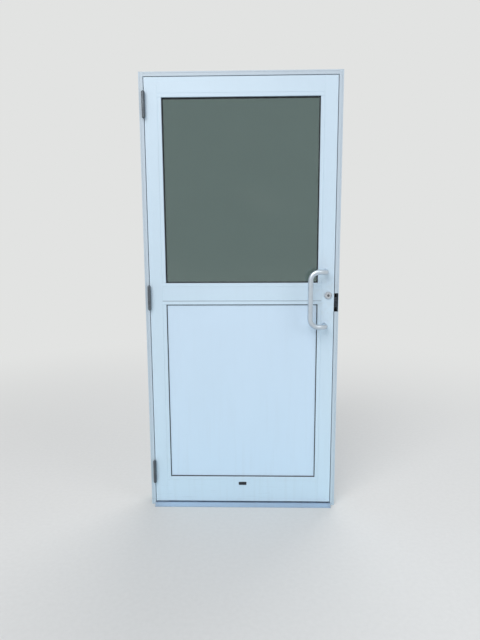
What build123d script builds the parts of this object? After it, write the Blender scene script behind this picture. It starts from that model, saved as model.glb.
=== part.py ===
from build123d import *
import os

os.makedirs("parts", exist_ok=True)

# A glazed aluminium entrance door in its frame, in millimetres, seen from outside.
# X runs across the door from the hinges to the lock, Y runs into the building, Z is up.
# The origin lies on the floor, at the middle of the frame's width and depth.

# Frame
opening_width = 914.0          # clear width between the jambs
opening_height = 2133.6        # floor to the underside of the head
frame_face = 21.0              # width of the jambs and head, seen from outside
frame_depth = 114.3
frame_wall = 3.2
face_groove_inset = 14.0       # from the opening to the groove in the jambs' and head's faces
face_groove_width = 1.2
face_groove_depth = 0.9
clip_length = 60.0             # corner clips inside the head
clip_wall = 3.0

# Gaps round the leaf
side_gap = 3.0
head_gap = 3.2
sill_gap = 6.3

# Threshold
threshold_height = 12.7
threshold_reach_out = 32.0     # how far it stands out in front of the frame
threshold_reach_in = 6.1
nose_height = 3.2
nose_lip = 5.0
nose_lip_rise = 1.0
ramp_length = 21.0
threshold_skin = 3.0
rib_width = 3.0
rib_pitch = 20.0
flute_pitch = 8.0
flute_width = 2.0
flute_depth = 1.0

# Leaf
leaf_thickness = 44.45
leaf_wall = 3.2
tube_corner_radius = 1.0
stile_face = 62.0
top_rail_face = 72.0
middle_rail_face = 71.0
bottom_rail_face = 118.0
panel_bay_height = 942.0       # bottom rail to middle rail
shear_block_length = 60.0
shear_block_wall = 3.0

# Beads and gaskets
bead_face = 17.8
bead_wall = 1.6
bead_corner_radius = 1.5       # on the edges that show
bead_joint = 0.2               # hairline joint between neighbouring beads
edge_cover = 11.0              # how far glass and panel reach behind the beads
gasket_thickness = 2.8
gasket_seat = 6.0              # gasket held behind the bead
gasket_line = 4.0              # gasket that shows beyond the bead

# Glass and panel
pane_thickness = 4.0
air_gap = 8.0
spacer_inset = 2.0
spacer_width = 7.0
panel_thickness = 31.75
panel_skin = 1.6
setting_block_length = 90.0
setting_block_spacing = 400.0

# Sweep in the bottom rail
sweep_channel_width = 12.0
sweep_channel_depth = 12.0
sweep_web = 2.5
sweep_fin_width = 3.0
sweep_clearance = 0.4

# Door stops and seals
stop_projection = 14.0
stop_depth = 38.0
stop_wall = 1.8
seal_gap = 4.0                 # leaf's back to the stop's face
seal_width = 7.0
seal_tongue_width = 3.2
seal_tongue_depth = 4.0
seal_clearance = 0.3

# Butt hinges
hinge_length = 114.3
hinge_wing = 50.8              # axis to the wing's far edge
hinge_offset = 12.7            # axis in front of the leaf's face
hinge_plate = 3.2
knuckle_radius = 8.0
knuckle_count = 5
knuckle_gap = 0.5
hinge_pin_radius = 4.0
hinge_tip_radius = 7.2
hinge_tip_height = 6.0
top_hinge_drop = 124.0         # leaf's top to the hinge's middle
bottom_hinge_rise = 167.0      # leaf's bottom to the hinge's middle
backer_thickness = 5.0
backer_overlap = 18.0
cut_clearance = 0.3            # round every cut-out
pin_clearance = 0.05           # running fit of a pin in its bore

# Screws
screw_head_radius = 4.6
screw_shank_radius = 2.4
screw_head_height = 2.4
screw_length = 12.0
screw_fit = 0.12

# Anchors that fix the frame
anchor_hole_radius = 3.6
anchor_y = 44.0
anchor_span_outer = 1700.0
anchor_span_inner = 600.0

# Lock
cylinder_height = 1105.7       # above the floor
lock_backset = 28.6
latch_drop = 35.0              # cylinder's axis to the latch's axis
lock_case_thickness = 25.4
lock_case_height = 149.2
lock_case_rise = 28.0          # cylinder's axis to the case's top
lock_case_depth = 46.0
lock_ear_thickness = 2.5
lock_ear_overlap = 8.0
lock_plate_width = 31.75
lock_plate_height = 174.6
latch_height = 25.4
latch_thickness = 14.0
latch_length = 38.0
latch_throw = 15.9
latch_setback = 0.3            # the held-back latch behind the faceplate
latch_play = 0.4
latch_nose = 4.0
latch_bevel = 12.0
cylinder_radius = 14.7
cylinder_length = 26.5
cylinder_head_radius = 15.6
cylinder_head_height = 3.0
ring_radius = 19.2
ring_height = 6.4
ring_taper = 3.2
cylinder_play = 0.2
plug_radius = 6.35
plug_proud = 0.6
key_slot_width = 2.2
key_slot_height = 8.6
key_slot_depth = 20.0
cam_thickness = 3.0
cam_reach = 12.5
cam_radius = 7.0

# Inside lever
escutcheon_width = 28.0
escutcheon_height = 116.0
escutcheon_thickness = 7.0
escutcheon_corner = 5.0
escutcheon_edge = 1.2
boss_radius = 13.5
boss_length = 17.0
spindle_radius = 5.0
spindle_reach = 21.0           # into the leaf, from its back
lever_hub_radius = 11.0
lever_hub_length = 14.0
lever_bar_radius = 8.0
lever_standoff = 47.0          # leaf's back to the middle of the bar
lever_length = 112.0
lever_return = 27.0
lever_bend_radius = 15.0

# Pull handle
pull_tube_radius = 12.7
pull_centres = 266.7           # between the posts
pull_lock_gap = 26.9           # lower post's axis below the lock case
pull_backset = 45.7            # leaf's edge to the posts
pull_offset = 76.2             # posts to the grip, sideways
pull_standoff = 63.5           # leaf's face to the middle of the grip
pull_post_bend = 26.0
pull_grip_bend = 39.0
pull_bolt_radius = 4.75
pull_bolt_grip = 18.0          # thread inside the post
pull_bolt_head_radius = 9.0
pull_bolt_head_height = 3.5

# Strike in the lock jamb
strike_plate_height = 124.0
lip_height = 91.4              # cut-out in the jamb's face
lip_depth = 18.0
strike_case_height = 133.0
strike_case_reach = 16.0       # latch's axis to the case's inner side
strike_case_wall = 1.5
keeper_height = 50.0
keeper_thickness = 3.5
keeper_barrel_radius = 3.6
keeper_pin_radius = 1.8
keeper_latch_gap = 1.0
keeper_pin_forward = 4.1       # keeper's back to its pin
keeper_lip = 9.0
keeper_lip_thickness = 2.6
keeper_play = 0.5

# Blank plate on the bottom rail
plate_width = 40.0
plate_height = 16.5
plate_thickness = 1.2
plate_corner_radius = 2.0
plate_middle_height = 118.0

# Places that follow from these sizes
half_opening = opening_width / 2
front_y = -frame_depth / 2
back_y = frame_depth / 2
frame_top = opening_height + frame_face
jamb_middle_x = half_opening + frame_face / 2
leaf_edge = half_opening - side_gap
leaf_bottom = threshold_height + sill_gap
leaf_top = opening_height - head_gap
leaf_height = leaf_top - leaf_bottom
leaf_back_y = front_y + leaf_thickness
leaf_mid_y = front_y + leaf_thickness / 2
stile_inner = leaf_edge - stile_face
stile_middle_x = leaf_edge - stile_face / 2
top_rail_bottom = leaf_top - top_rail_face
bottom_rail_top = leaf_bottom + bottom_rail_face
middle_rail_bottom = bottom_rail_top + panel_bay_height
middle_rail_top = middle_rail_bottom + middle_rail_face
glass_bay = (middle_rail_top, top_rail_bottom)
panel_bay = (bottom_rail_top, middle_rail_bottom)
glass_thickness = 2 * pane_thickness + air_gap
edge_margin = bead_face - edge_cover
stop_front_y = leaf_back_y + seal_gap
hinge_x = -(half_opening + leaf_edge) / 2
hinge_y = front_y - hinge_offset
wing_end_y = hinge_y + hinge_wing
hinge_levels = {
    "top": leaf_top - top_hinge_drop,
    "middle": (leaf_top - top_hinge_drop + leaf_bottom + bottom_hinge_rise) / 2,
    "bottom": leaf_bottom + bottom_hinge_rise,
}
lock_x = leaf_edge - lock_backset
latch_z = cylinder_height - latch_drop
pull_x = leaf_edge - pull_backset
lock_plate_z = cylinder_height + lock_case_rise - lock_case_height / 2
lower_post_level = lock_plate_z - lock_case_height / 2 - pull_lock_gap
pull_levels = (lower_post_level, lower_post_level + pull_centres)


def facade(y):
    """The plane that faces outside at depth y: its own x and y are the door's X and Z."""
    return Plane.XZ.offset(-y)


def tube_section(width, depth, wall):
    """A rectangular tube's section, centred on the active location."""
    RectangleRounded(width, depth, tube_corner_radius)
    Rectangle(width - 2 * wall, depth - 2 * wall, mode=Mode.SUBTRACT)


def block(x_range, y_range, z_range, mode=Mode.ADD):
    """A box given by its low and high corners."""
    ranges = (x_range, y_range, z_range)
    with Locations(tuple((low + high) / 2 for low, high in ranges)):
        Box(*(high - low for low, high in ranges), mode=mode)


def around(middle, length):
    """The range of a length centred on middle."""
    return (middle - length / 2, middle + length / 2)


def bay_outline(bay, margin, mode=Mode.ADD):
    """A bay's rectangle on a facade plane, drawn in by a margin on every side."""
    low, high = bay
    with Locations((0, (low + high) / 2)):
        Rectangle(2 * (stile_inner - margin), high - low - 2 * margin, mode=mode)


def countersunk_screw(play):
    """A screw with its head's face at the origin, pointing down. With play it is the screw's hole."""
    head, shank = screw_head_radius + play, screw_shank_radius + play
    with BuildPart() as screw_body:
        with BuildSketch(Plane.XZ):
            with BuildLine():
                Polyline(
                    (0, 0),
                    (head, 0),
                    (shank, -screw_head_height),
                    (shank, -screw_length - play),
                    (0, -screw_length - play),
                    close=True,
                )
            make_face()
        revolve(axis=Axis.Z)
    return screw_body.part


screw = countersunk_screw(0)
screw_hole = countersunk_screw(screw_fit)
point_out_left = (0, 90, 0)    # turns a screw's head towards +X
point_out_right = (0, -90, 0)  # turns a screw's head towards -X
point_inside = (-90, 0, 0)     # turns a screw's head towards +Y


# Frame: hinge jamb, with cut-outs for the hinge wings and holes for the anchors
anchor_levels = [
    frame_top / 2 + side * span / 2 for span in (anchor_span_outer, anchor_span_inner) for side in (-1, 1)
]
wing_cut_y = (front_y - cut_clearance, wing_end_y + cut_clearance)
wing_cut_height = hinge_length + 2 * cut_clearance


def jamb_section(side):
    """The jamb's tube with the fine groove along its outer and inner faces."""
    with Locations((side * jamb_middle_x, 0)):
        tube_section(frame_face, frame_depth, frame_wall)
    groove_x = side * (half_opening + face_groove_inset)
    with Locations((groove_x, front_y), (groove_x, back_y)):
        Rectangle(face_groove_width, 2 * face_groove_depth, mode=Mode.SUBTRACT)


with BuildPart() as hinge_jamb:
    with BuildSketch(Plane.XY):
        jamb_section(-1)
    extrude(amount=frame_top)
    for level in hinge_levels.values():
        block(
            (-half_opening - frame_wall, -half_opening),
            wing_cut_y,
            around(level, wing_cut_height),
            mode=Mode.SUBTRACT,
        )
    with Locations(*[(-jamb_middle_x, anchor_y, level) for level in anchor_levels]):
        Cylinder(anchor_hole_radius, 2 * frame_face, rotation=(0, 90, 0), mode=Mode.SUBTRACT)
hinge_jamb.part.label = "hinge_jamb"
export_step(hinge_jamb.part, "parts/hinge_jamb.step")

# Frame: lock jamb, cut open at its corner for the strike
strike_plate_y = around(leaf_mid_y, lock_plate_width)
lip_z = around(latch_z, lip_height)
with BuildPart() as lock_jamb:
    with BuildSketch(Plane.XY):
        jamb_section(1)
    extrude(amount=frame_top)
    block(
        (half_opening, half_opening + frame_wall),
        (strike_plate_y[0] - cut_clearance, strike_plate_y[1] + cut_clearance),
        around(latch_z, strike_plate_height + 2 * cut_clearance),
        mode=Mode.SUBTRACT,
    )
    block(
        (half_opening, half_opening + lip_depth),
        (front_y, front_y + frame_wall),
        lip_z,
        mode=Mode.SUBTRACT,
    )
    block(
        (half_opening, half_opening + frame_wall),
        (front_y, leaf_mid_y),
        lip_z,
        mode=Mode.SUBTRACT,
    )
    with Locations(*[(jamb_middle_x, anchor_y, level) for level in anchor_levels]):
        Cylinder(anchor_hole_radius, 2 * frame_face, rotation=(0, 90, 0), mode=Mode.SUBTRACT)
lock_jamb.part.label = "lock_jamb"
export_step(lock_jamb.part, "parts/lock_jamb.step")

# Frame: head, between the jambs
with BuildPart() as frame_head:
    with BuildSketch(Plane.YZ.offset(-half_opening)):
        with Locations((0, opening_height + frame_face / 2)):
            tube_section(frame_depth, frame_face, frame_wall)
        groove_z = opening_height + face_groove_inset
        with Locations((front_y, groove_z), (back_y, groove_z)):
            Rectangle(2 * face_groove_depth, face_groove_width, mode=Mode.SUBTRACT)
    extrude(amount=opening_width)
frame_head.part.label = "frame_head"
export_step(frame_head.part, "parts/frame_head.step")

# Corner clips: a short channel in each end of the head, against the jamb
clip_depth = frame_depth - 2 * frame_wall
clip_height = frame_face - 2 * frame_wall
with BuildPart() as corner_clips:
    for start in (-half_opening, half_opening - clip_length):
        with BuildSketch(Plane.YZ.offset(start)):
            with Locations((0, opening_height + frame_face / 2)):
                Rectangle(clip_depth - 2 * cut_clearance, clip_height)
            with Locations((0, opening_height + frame_face / 2 + clip_wall)):
                Rectangle(clip_depth - 2 * clip_wall, clip_height, mode=Mode.SUBTRACT)
        extrude(amount=clip_length)
corner_clips.part.label = "corner_clips"
export_step(corner_clips.part, "parts/corner_clips.step")

# Threshold: a low saddle with a stepped nose outside, flutes on top and ribs below
threshold_front = front_y - threshold_reach_out
threshold_back = back_y + threshold_reach_in
ramp_top_front = threshold_front + nose_lip + ramp_length
ramp_top_back = threshold_back - ramp_length
cells_in_front = int(-ramp_top_front / rib_pitch)
cells_behind = int(ramp_top_back / rib_pitch)
flute_count = int((ramp_top_back - ramp_top_front) / flute_pitch)
with BuildPart() as threshold:
    with BuildSketch(Plane.YZ.offset(-half_opening)):
        with BuildLine():
            Polyline(
                (threshold_front, 0),
                (threshold_front, nose_height),
                (threshold_front + nose_lip, nose_height + nose_lip_rise),
                (ramp_top_front, threshold_height),
                (ramp_top_back, threshold_height),
                (threshold_back, nose_height),
                (threshold_back, 0),
                close=True,
            )
        make_face()
        cell_height = threshold_height - threshold_skin
        for cell in range(-cells_in_front, cells_behind):
            with Locations(((cell + 0.5) * rib_pitch, cell_height / 2)):
                Rectangle(rib_pitch - rib_width, cell_height, mode=Mode.SUBTRACT)
        flutes_middle = ((ramp_top_front + ramp_top_back) / 2, threshold_height)
        with Locations(flutes_middle):
            with GridLocations(flute_pitch, 1, flute_count, 1):
                Rectangle(flute_width, 2 * flute_depth, mode=Mode.SUBTRACT)
    extrude(amount=opening_width)
threshold.part.label = "threshold"
export_step(threshold.part, "parts/threshold.step")

# Door stops: box channels behind the leaf, with a groove for the seal
stop_middle_x = half_opening - stop_projection / 2
stop_middle_y = stop_front_y + stop_depth / 2
groove_width = seal_tongue_width + 2 * seal_clearance
groove_depth = seal_tongue_depth + seal_clearance


def stop_section(across_is_x):
    """A stop's tube with its seal groove, centred on the active location, its face towards -Y."""
    size = (stop_projection, stop_depth) if across_is_x else (stop_depth, stop_projection)
    tube_section(*size, stop_wall)
    groove_base = groove_depth + stop_wall
    channel = (groove_width + 2 * stop_wall, groove_base)
    groove = (groove_width, groove_depth)
    place = -stop_depth / 2
    if across_is_x:
        with Locations((0, place + groove_base / 2)):
            Rectangle(*channel)
        with Locations((0, place + groove_depth / 2)):
            Rectangle(*groove, mode=Mode.SUBTRACT)
    else:
        with Locations((place + groove_base / 2, 0)):
            Rectangle(*reversed(channel))
        with Locations((place + groove_depth / 2, 0)):
            Rectangle(*reversed(groove), mode=Mode.SUBTRACT)


with BuildPart() as stop_hinge_side:
    with BuildSketch(Plane((-stop_middle_x, stop_middle_y, threshold_height))):
        stop_section(True)
    extrude(amount=opening_height - threshold_height)
stop_hinge_side.part.label = "stop_hinge_side"
export_step(stop_hinge_side.part, "parts/stop_hinge_side.step")

with BuildPart() as stop_lock_side:
    with BuildSketch(Plane((stop_middle_x, stop_middle_y, threshold_height))):
        stop_section(True)
    extrude(amount=opening_height - threshold_height)
stop_lock_side.part.label = "stop_lock_side"
export_step(stop_lock_side.part, "parts/stop_lock_side.step")

stop_head_half = half_opening - stop_projection
stop_head_z = opening_height - stop_projection / 2
with BuildPart() as stop_head:
    with BuildSketch(
        Plane((-stop_head_half, stop_middle_y, stop_head_z), x_dir=(0, 1, 0), z_dir=(1, 0, 0))
    ):
        stop_section(False)
    extrude(amount=2 * stop_head_half)
stop_head.part.label = "stop_head"
export_step(stop_head.part, "parts/stop_head.step")

# Bulb seals in the stops' grooves, just clear of the closed leaf
bulb_depth = seal_gap - seal_clearance
bulb_middle_y = leaf_back_y + seal_clearance + bulb_depth / 2
tongue_middle_y = stop_front_y + seal_tongue_depth / 2
with BuildPart() as stop_seals:
    with BuildSketch(Plane.XY.offset(threshold_height)):
        for side in (-1, 1):
            with Locations((side * stop_middle_x, bulb_middle_y)):
                RectangleRounded(seal_width, bulb_depth, bulb_depth / 2 - 0.05)
            with Locations((side * stop_middle_x, tongue_middle_y)):
                Rectangle(seal_tongue_width, seal_tongue_depth)
    extrude(amount=stop_head_z - seal_width / 2 - seal_clearance - threshold_height)
    with BuildSketch(Plane.YZ.offset(-stop_head_half + seal_clearance)):
        with Locations((bulb_middle_y, stop_head_z)):
            RectangleRounded(bulb_depth, seal_width, bulb_depth / 2 - 0.05)
        with Locations((tongue_middle_y, stop_head_z)):
            Rectangle(seal_tongue_depth, seal_tongue_width)
    extrude(amount=2 * (stop_head_half - seal_clearance))
stop_seals.part.label = "stop_seals"
export_step(stop_seals.part, "parts/stop_seals.step")

# Leaf: hinge stile
with BuildPart() as hinge_stile:
    with BuildSketch(Plane((-stile_middle_x, leaf_mid_y, leaf_bottom))):
        tube_section(stile_face, leaf_thickness, leaf_wall)
    extrude(amount=leaf_height)
    for level in hinge_levels.values():
        block(
            (-leaf_edge, -leaf_edge + leaf_wall),
            wing_cut_y,
            around(level, wing_cut_height),
            mode=Mode.SUBTRACT,
        )
hinge_stile.part.label = "hinge_stile"
export_step(hinge_stile.part, "parts/hinge_stile.step")

# Leaf: lock stile, cut for the lock's faceplate, the cylinder, the lever and the pull handle
escutcheon_screw_levels = around(cylinder_height, escutcheon_height - 4 * screw_head_radius)
with BuildPart() as lock_stile:
    with BuildSketch(Plane((stile_middle_x, leaf_mid_y, leaf_bottom))):
        tube_section(stile_face, leaf_thickness, leaf_wall)
    extrude(amount=leaf_height)
    block(
        (leaf_edge - leaf_wall, leaf_edge),
        around(leaf_mid_y, lock_plate_width + 2 * cut_clearance),
        around(lock_plate_z, lock_plate_height + 2 * cut_clearance),
        mode=Mode.SUBTRACT,
    )
    with Locations((lock_x, front_y, cylinder_height)):
        Cylinder(
            cylinder_radius + cylinder_play, 2 * leaf_wall, rotation=(90, 0, 0), mode=Mode.SUBTRACT
        )
    with Locations((lock_x, leaf_back_y, cylinder_height)):
        Cylinder(boss_radius + cylinder_play, 2 * leaf_wall, rotation=(90, 0, 0), mode=Mode.SUBTRACT)
    with Locations(*[(pull_x, leaf_mid_y, level) for level in pull_levels]):
        Cylinder(
            pull_bolt_radius + cylinder_play, 2 * leaf_thickness, rotation=(90, 0, 0), mode=Mode.SUBTRACT
        )
    with Locations(*[(lock_x, leaf_back_y, level) for level in escutcheon_screw_levels]):
        Cylinder(
            screw_shank_radius + screw_fit, 2 * leaf_wall, rotation=(90, 0, 0), mode=Mode.SUBTRACT
        )
lock_stile.part.label = "lock_stile"
export_step(lock_stile.part, "parts/lock_stile.step")

# Leaf: top rail
rail_start = Plane.YZ.offset(-stile_inner)
rail_length = 2 * stile_inner
with BuildPart() as top_rail:
    with BuildSketch(rail_start):
        with Locations((leaf_mid_y, leaf_top - top_rail_face / 2)):
            tube_section(leaf_thickness, top_rail_face, leaf_wall)
    extrude(amount=rail_length)
top_rail.part.label = "top_rail"
export_step(top_rail.part, "parts/top_rail.step")

# Leaf: middle rail
with BuildPart() as middle_rail:
    with BuildSketch(rail_start):
        with Locations((leaf_mid_y, middle_rail_bottom + middle_rail_face / 2)):
            tube_section(leaf_thickness, middle_rail_face, leaf_wall)
    extrude(amount=rail_length)
middle_rail.part.label = "middle_rail"
export_step(middle_rail.part, "parts/middle_rail.step")

# Leaf: bottom rail, a tube over a channel for the sweep with a small cell on each side of it
rail_foot = sweep_channel_depth + sweep_web
upper_cell_height = bottom_rail_face - rail_foot - leaf_wall
side_cell_width = leaf_thickness / 2 - leaf_wall - sweep_channel_width / 2 - sweep_web
side_cell_place = leaf_thickness / 2 - leaf_wall - side_cell_width / 2
with BuildPart() as bottom_rail:
    with BuildSketch(rail_start):
        with Locations((leaf_mid_y, leaf_bottom + bottom_rail_face / 2)):
            RectangleRounded(leaf_thickness, bottom_rail_face, tube_corner_radius)
        with Locations((leaf_mid_y, leaf_bottom + rail_foot + upper_cell_height / 2)):
            Rectangle(leaf_thickness - 2 * leaf_wall, upper_cell_height, mode=Mode.SUBTRACT)
        with Locations((leaf_mid_y, leaf_bottom + sweep_channel_depth / 2)):
            Rectangle(sweep_channel_width, sweep_channel_depth, mode=Mode.SUBTRACT)
        for side in (-1, 1):
            with Locations((leaf_mid_y + side * side_cell_place, leaf_bottom + rail_foot / 2)):
                Rectangle(side_cell_width, rail_foot - 2 * sweep_web, mode=Mode.SUBTRACT)
    extrude(amount=rail_length)
bottom_rail.part.label = "bottom_rail"
export_step(bottom_rail.part, "parts/bottom_rail.step")

# Shear blocks: a channel in each end of every rail, welded to the stile
block_depth = leaf_thickness - 2 * leaf_wall
rail_cells = (
    (leaf_top - top_rail_face + leaf_wall, leaf_top - leaf_wall),
    (middle_rail_bottom + leaf_wall, middle_rail_top - leaf_wall),
    (leaf_bottom + rail_foot, bottom_rail_top - leaf_wall),
)
with BuildPart() as rail_shear_blocks:
    for start in (-stile_inner, stile_inner - shear_block_length):
        with BuildSketch(Plane.YZ.offset(start)):
            for low, high in rail_cells:
                with Locations((leaf_mid_y, (low + high) / 2)):
                    Rectangle(block_depth - 2 * cut_clearance, high - low)
                    Rectangle(
                        block_depth - 2 * cut_clearance - 2 * shear_block_wall,
                        high - low - 2 * shear_block_wall,
                        mode=Mode.SUBTRACT,
                    )
        extrude(amount=shear_block_length)
rail_shear_blocks.part.label = "rail_shear_blocks"
export_step(rail_shear_blocks.part, "parts/rail_shear_blocks.step")

# Sealed glass unit: outer pane, inner pane and the spacer between them
glass_front_y = leaf_mid_y - glass_thickness / 2
glass_back_y = leaf_mid_y + glass_thickness / 2
with BuildPart() as glass_outer_pane:
    with BuildSketch(facade(glass_front_y)):
        bay_outline(glass_bay, edge_margin)
    extrude(amount=-pane_thickness)
glass_outer_pane.part.label = "glass_outer_pane"
export_step(glass_outer_pane.part, "parts/glass_outer_pane.step")

with BuildPart() as glass_inner_pane:
    with BuildSketch(facade(glass_back_y)):
        bay_outline(glass_bay, edge_margin)
    extrude(amount=pane_thickness)
glass_inner_pane.part.label = "glass_inner_pane"
export_step(glass_inner_pane.part, "parts/glass_inner_pane.step")

with BuildPart() as glass_spacer:
    with BuildSketch(facade(leaf_mid_y - air_gap / 2)):
        bay_outline(glass_bay, edge_margin + spacer_inset)
        bay_outline(glass_bay, edge_margin + spacer_inset + spacer_width, mode=Mode.SUBTRACT)
    extrude(amount=-air_gap)
glass_spacer.part.label = "glass_spacer"
export_step(glass_spacer.part, "parts/glass_spacer.step")

# Insulated panel: outer skin, core and inner skin
panel_front_y = leaf_mid_y - panel_thickness / 2
panel_back_y = leaf_mid_y + panel_thickness / 2
with BuildPart() as panel_outer_skin:
    with BuildSketch(facade(panel_front_y)):
        bay_outline(panel_bay, edge_margin)
    extrude(amount=-panel_skin)
panel_outer_skin.part.label = "panel_outer_skin"
export_step(panel_outer_skin.part, "parts/panel_outer_skin.step")

with BuildPart() as panel_core:
    with BuildSketch(facade(panel_front_y + panel_skin)):
        bay_outline(panel_bay, edge_margin)
    extrude(amount=-(panel_thickness - 2 * panel_skin))
panel_core.part.label = "panel_core"
export_step(panel_core.part, "parts/panel_core.step")

with BuildPart() as panel_inner_skin:
    with BuildSketch(facade(panel_back_y)):
        bay_outline(panel_bay, edge_margin)
    extrude(amount=panel_skin)
panel_inner_skin.part.label = "panel_inner_skin"
export_step(panel_inner_skin.part, "parts/panel_inner_skin.step")

# Setting blocks: two under the glass and two under the panel
with BuildPart() as setting_blocks:
    for side in (-1, 1):
        for (low, _), thickness in ((glass_bay, glass_thickness), (panel_bay, panel_thickness)):
            block(
                around(side * setting_block_spacing / 2, setting_block_length),
                around(leaf_mid_y, thickness),
                (low, low + edge_margin),
            )
setting_blocks.part.label = "setting_blocks"
export_step(setting_blocks.part, "parts/setting_blocks.step")


# Beads: snap-in channels. The top and bottom ones run from stile to stile, the side ones between them
def bead_ring(bay, infill_thickness, outer_side):
    """The four beads on one side of a bay, from the leaf's face to the gasket."""
    low, high = bay
    depth = (leaf_thickness - infill_thickness) / 2 - gasket_thickness
    face = front_y if outer_side else leaf_back_y
    inward = 1 if outer_side else -1
    middle_y = face + inward * depth / 2
    hollow_y = middle_y + inward * bead_wall
    shown = 0 if outer_side else -1
    bead_levels = (low + bead_face / 2, high - bead_face / 2)
    bead_sides = (bead_face / 2 - stile_inner, stile_inner - bead_face / 2)
    with BuildSketch(Plane.YZ.offset(-stile_inner)) as across:
        with Locations(*[(middle_y, z) for z in bead_levels]):
            Rectangle(depth, bead_face)
        fillet(across.vertices().group_by(Axis.X)[shown], bead_corner_radius)
        with Locations(*[(hollow_y, z) for z in bead_levels]):
            Rectangle(depth, bead_face - 2 * bead_wall, mode=Mode.SUBTRACT)
    extrude(across.sketch, amount=rail_length)
    with BuildSketch(Plane.XY.offset(low + bead_face + bead_joint)) as upright:
        with Locations(*[(x, middle_y) for x in bead_sides]):
            Rectangle(bead_face, depth)
        fillet(upright.vertices().group_by(Axis.Y)[shown], bead_corner_radius)
        with Locations(*[(x, hollow_y) for x in bead_sides]):
            Rectangle(bead_face - 2 * bead_wall, depth, mode=Mode.SUBTRACT)
    extrude(upright.sketch, amount=high - low - 2 * (bead_face + bead_joint))


with BuildPart() as glass_beads_outer:
    bead_ring(glass_bay, glass_thickness, outer_side=True)
glass_beads_outer.part.label = "glass_beads_outer"
export_step(glass_beads_outer.part, "parts/glass_beads_outer.step")

with BuildPart() as glass_beads_inner:
    bead_ring(glass_bay, glass_thickness, outer_side=False)
glass_beads_inner.part.label = "glass_beads_inner"
export_step(glass_beads_inner.part, "parts/glass_beads_inner.step")

with BuildPart() as panel_beads_outer:
    bead_ring(panel_bay, panel_thickness, outer_side=True)
panel_beads_outer.part.label = "panel_beads_outer"
export_step(panel_beads_outer.part, "parts/panel_beads_outer.step")

with BuildPart() as panel_beads_inner:
    bead_ring(panel_bay, panel_thickness, outer_side=False)
panel_beads_inner.part.label = "panel_beads_inner"
export_step(panel_beads_inner.part, "parts/panel_beads_inner.step")


# Gaskets: a black strip between bead and glass or panel, outside and inside
def gasket_pair(bay, infill_thickness):
    """The outside and the inside gasket of a bay, each one ring."""
    surfaces = (
        leaf_mid_y - infill_thickness / 2 - gasket_thickness,
        leaf_mid_y + infill_thickness / 2,
    )
    for y in surfaces:
        with BuildSketch(facade(y)) as ring:
            bay_outline(bay, bead_face - gasket_seat)
            bay_outline(bay, bead_face + gasket_line, mode=Mode.SUBTRACT)
        extrude(ring.sketch, amount=-gasket_thickness)


with BuildPart() as glass_gaskets:
    gasket_pair(glass_bay, glass_thickness)
glass_gaskets.part.label = "glass_gaskets"
export_step(glass_gaskets.part, "parts/glass_gaskets.step")

with BuildPart() as panel_gaskets:
    gasket_pair(panel_bay, panel_thickness)
panel_gaskets.part.label = "panel_gaskets"
export_step(panel_gaskets.part, "parts/panel_gaskets.step")

# Sweep: a rubber strip in the bottom rail's channel, its fin just clear of the threshold
fin_bottom = threshold_height + sweep_clearance
with BuildPart() as bottom_sweep:
    with BuildSketch(rail_start):
        with Locations((leaf_mid_y, leaf_bottom + sweep_channel_depth / 2)):
            Rectangle(sweep_channel_width, sweep_channel_depth)
        with Locations((leaf_mid_y, (leaf_bottom + fin_bottom) / 2)):
            Rectangle(sweep_fin_width, leaf_bottom - fin_bottom)
    extrude(amount=rail_length)
bottom_sweep.part.label = "bottom_sweep"
export_step(bottom_sweep.part, "parts/bottom_sweep.step")

# Blank plate on the bottom rail
with BuildPart() as bottom_rail_plate:
    with BuildSketch(facade(front_y)):
        with Locations((0, plate_middle_height)):
            RectangleRounded(plate_width, plate_height, plate_corner_radius)
    extrude(amount=plate_thickness)
bottom_rail_plate.part.label = "bottom_rail_plate"
export_step(bottom_rail_plate.part, "parts/bottom_rail_plate.step")

# Hinges: five knuckles on one pin, three on the frame's wing and two on the door's
knuckle_height = (hinge_length - (knuckle_count - 1) * knuckle_gap) / knuckle_count
knuckle_step = knuckle_height + knuckle_gap
wing_clear = knuckle_radius + knuckle_gap
screw_rows = ((-0.38, 0.45), (-0.13, 0.8), (0.13, 0.8), (0.38, 0.45))
wing_cover = wing_end_y - front_y


def hinge_screw_places(level, x, rotation):
    """Where a wing's screws go: staggered in two rows."""
    return [
        Location((x, front_y + across * wing_cover, level + along * hinge_length), rotation)
        for along, across in screw_rows
    ]


def hinge_wing_body(level, side, knuckles):
    """One wing with its own knuckles. side is -1 for the frame's wing and 1 for the door's."""
    face_x = -half_opening if side < 0 else -leaf_edge
    wing_x = sorted((face_x, face_x + side * hinge_plate))
    bottom = level - hinge_length / 2
    block(wing_x, (hinge_y + wing_clear, wing_end_y), around(level, hinge_length))
    for knuckle in knuckles:
        low = bottom + knuckle * knuckle_step
        block(wing_x, (hinge_y, hinge_y + wing_clear), (low, low + knuckle_height))
        with Locations((hinge_x, hinge_y, low + knuckle_height / 2)):
            Cylinder(knuckle_radius, knuckle_height)
    with Locations((hinge_x, hinge_y, level)):
        Cylinder(hinge_pin_radius + pin_clearance, 2 * hinge_length, mode=Mode.SUBTRACT)
    turn = point_out_left if side < 0 else point_out_right
    with Locations(*hinge_screw_places(level, face_x, turn)):
        add(screw_hole, mode=Mode.SUBTRACT)


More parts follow.
